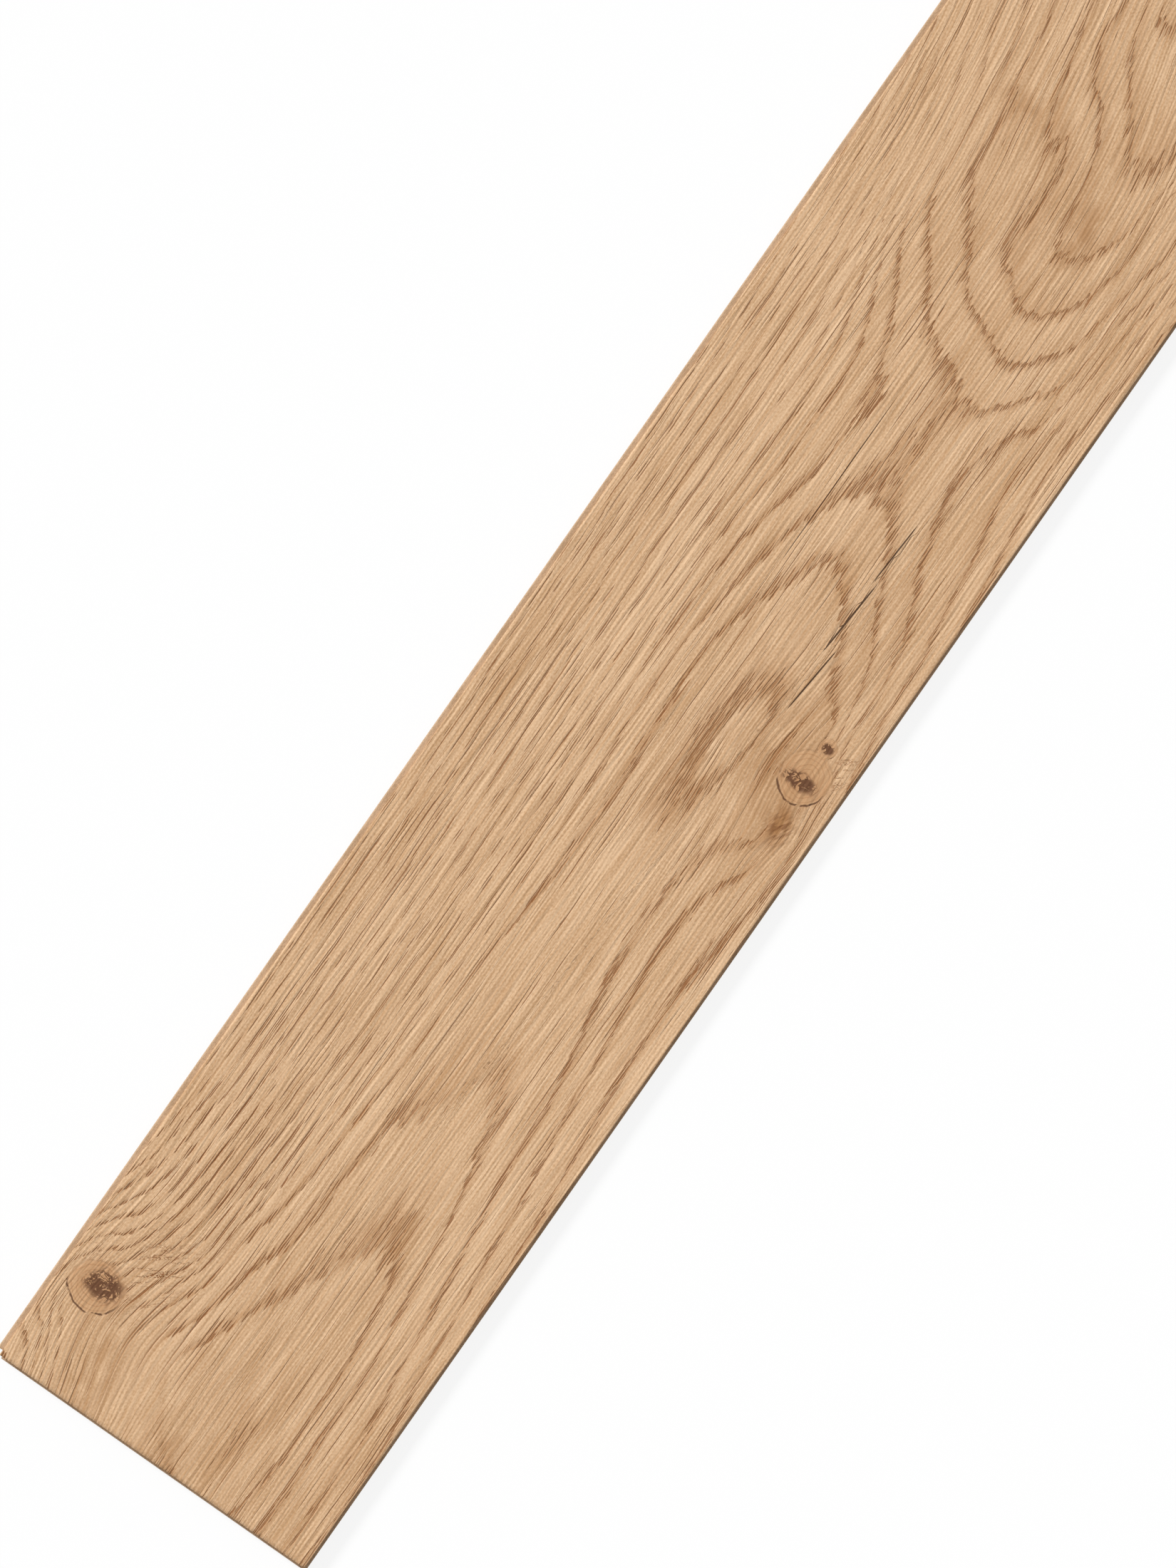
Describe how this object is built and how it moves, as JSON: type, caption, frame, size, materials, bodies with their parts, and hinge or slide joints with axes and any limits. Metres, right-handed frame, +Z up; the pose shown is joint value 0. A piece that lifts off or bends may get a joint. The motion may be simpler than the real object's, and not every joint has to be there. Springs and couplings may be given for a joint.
{
  "type": "laminate floor plank",
  "caption": "Long flat floor board with a printed, embossed oak face and a locking tongue and groove milled round its edges, so that planks click together into a floor.",
  "frame": {"origin": "on the underside, below the middle of the printed face", "axes": "+X along the plank towards the tongue end, +Y across it towards the tongue edge, +Z up out of the printed face"},
  "size_m": [1.2893, 0.1963, 0.008],
  "materials": {
    "laminate": "matt printed oak with pores embossed in register, over a bare brown fibreboard edge"
  },
  "bodies": {
    "root": {"plank": "laminate"}
  },
  "joints": []
}
